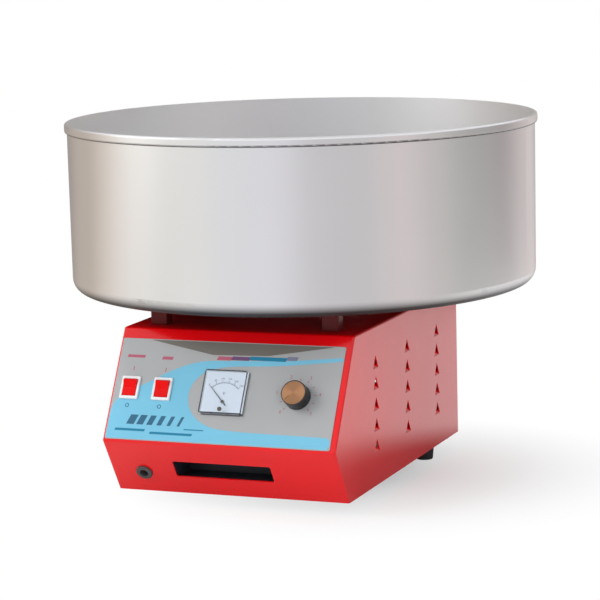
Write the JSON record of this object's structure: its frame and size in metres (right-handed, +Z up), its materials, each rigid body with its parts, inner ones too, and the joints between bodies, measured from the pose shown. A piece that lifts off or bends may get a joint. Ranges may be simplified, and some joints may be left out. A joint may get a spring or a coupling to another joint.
{
  "type": "candy floss machine",
  "caption": "Electric candy floss machine: spun aluminium bowl on posts over a red sheet-metal case with raked panel, rocker switches, meter and heat knob; spinning heater head inside.",
  "frame": {"origin": "on the floor, under the spin axis of the bowl and head", "axes": "+Z up along the spin axis; the control panel faces -Y and +X is to its right"},
  "size_m": [0.52, 0.52, 0.393],
  "materials": {
    "red_paint": "gloss stove enamel",
    "galvanised": "dull zinc",
    "facia_print": "screen-printed satin overlay",
    "spun_aluminium": "satin, spun",
    "cast_aluminium": "as cast",
    "stainless": "brushed",
    "steel": "bright",
    "zinc_screw": "zinc plated",
    "brass": "turned",
    "copper": "enamelled wire",
    "white_plastic": "gloss",
    "red_plastic": "gloss, translucent",
    "black_plastic": "fine texture",
    "black_rubber": "matt",
    "phenolic": "machined",
    "carbon": "graphite",
    "ceramic": "unglazed",
    "clear_acrylic": "clear, gloss",
    "dial_white": "satin white",
    "needle_black": "matt",
    "lamination": "stacked laminations"
  },
  "bodies": {
    "case": {"case_shell": "red_paint", "base_plate": "galvanised", "rear_panel": "red_paint", "facia_plate": "facia_print", "grip_cup": "black_plastic", "cord_grommet": "black_rubber", "power_switch_body": "white_plastic", "heat_switch_body": "white_plastic", "meter_body": "black_plastic", "meter_dial": "dial_white", "meter_magnet": "steel", "meter_cover": "clear_acrylic", "regulator_body": "black_plastic", "regulator_nut": "zinc_screw", "post_front_left": "red_paint", "post_front_right": "red_paint", "post_rear_left": "red_paint", "post_rear_right": "red_paint", "post_pads": "black_rubber", "post_studs": "zinc_screw", "foot_front_left": "black_rubber", "foot_front_right": "black_rubber", "foot_rear_left": "black_rubber", "foot_rear_right": "black_rubber", "foot_screws": "zinc_screw", "base_screws": "zinc_screw", "rear_screws": "zinc_screw", "motor_plate": "galvanised", "motor_mounts": "black_rubber", "motor_screws": "zinc_screw", "motor_housing": "cast_aluminium", "motor_end_cover": "cast_aluminium", "upper_bearing": "steel", "lower_bearing": "steel", "stator_core": "lamination", "stator_windings": "copper", "brush_holder": "phenolic", "carbon_brushes": "carbon", "brush_spring": "brass", "shaft_collar": "spun_aluminium", "terminal_block": "white_plastic"},
    "spinner": {"motor_shaft": "steel", "rotor_core": "lamination", "slip_ring_hub": "phenolic", "slip_rings": "brass", "head_base": "cast_aluminium", "head_band": "stainless", "head_lid": "cast_aluminium", "heater_posts": "ceramic", "heater_element": "steel", "head_fasteners": "zinc_screw"},
    "bowl": {"bowl": "spun_aluminium"},
    "power_rocker": {"power_rocker": "red_plastic"},
    "heat_rocker": {"heat_rocker": "red_plastic"},
    "knob": {"regulator_knob": "black_plastic", "knob_cap": "brass", "regulator_spindle": "steel"},
    "needle": {"meter_needle": "needle_black"},
    "zero_screw": {"meter_zero_screw": "black_plastic"}
  },
  "joints": [
    {"name": "head_spin", "type": "hinge", "parent": "case", "child": "spinner", "pos_m": [0, 0, 0.13], "axis": [0, 0, 1], "continuous": true},
    {"name": "bowl_lift", "type": "slide", "parent": "case", "child": "bowl", "axis": [0, 0, 1], "range_m": [0, 0.12]},
    {"name": "power_switch", "type": "hinge", "parent": "case", "child": "power_rocker", "pos_m": [-0.109, -0.23087, 0.12666], "axis": [-1, 0, 0], "range_deg": [0, 16]},
    {"name": "heat_switch", "type": "hinge", "parent": "case", "child": "heat_rocker", "pos_m": [-0.0723, -0.23087, 0.12666], "axis": [-1, 0, 0], "range_deg": [0, 16]},
    {"name": "heat_regulator", "type": "hinge", "parent": "case", "child": "knob", "pos_m": [0.08, -0.23152, 0.12554], "axis": [0, 0.8643, -0.5029], "range_deg": [0, 270]},
    {"name": "meter_pointer", "type": "hinge", "parent": "case", "child": "needle", "pos_m": [-0.001, -0.23655, 0.11689], "axis": [0, 0.8643, -0.5029], "range_deg": [0, 90], "stiffness_Nm_per_rad": 0.0001},
    {"name": "zero_adjust", "type": "hinge", "parent": "case", "child": "zero_screw", "pos_m": [-0.001, -0.24728, 0.11237], "axis": [0, -0.8643, 0.5029], "range_deg": [-30, 30]}
  ]
}
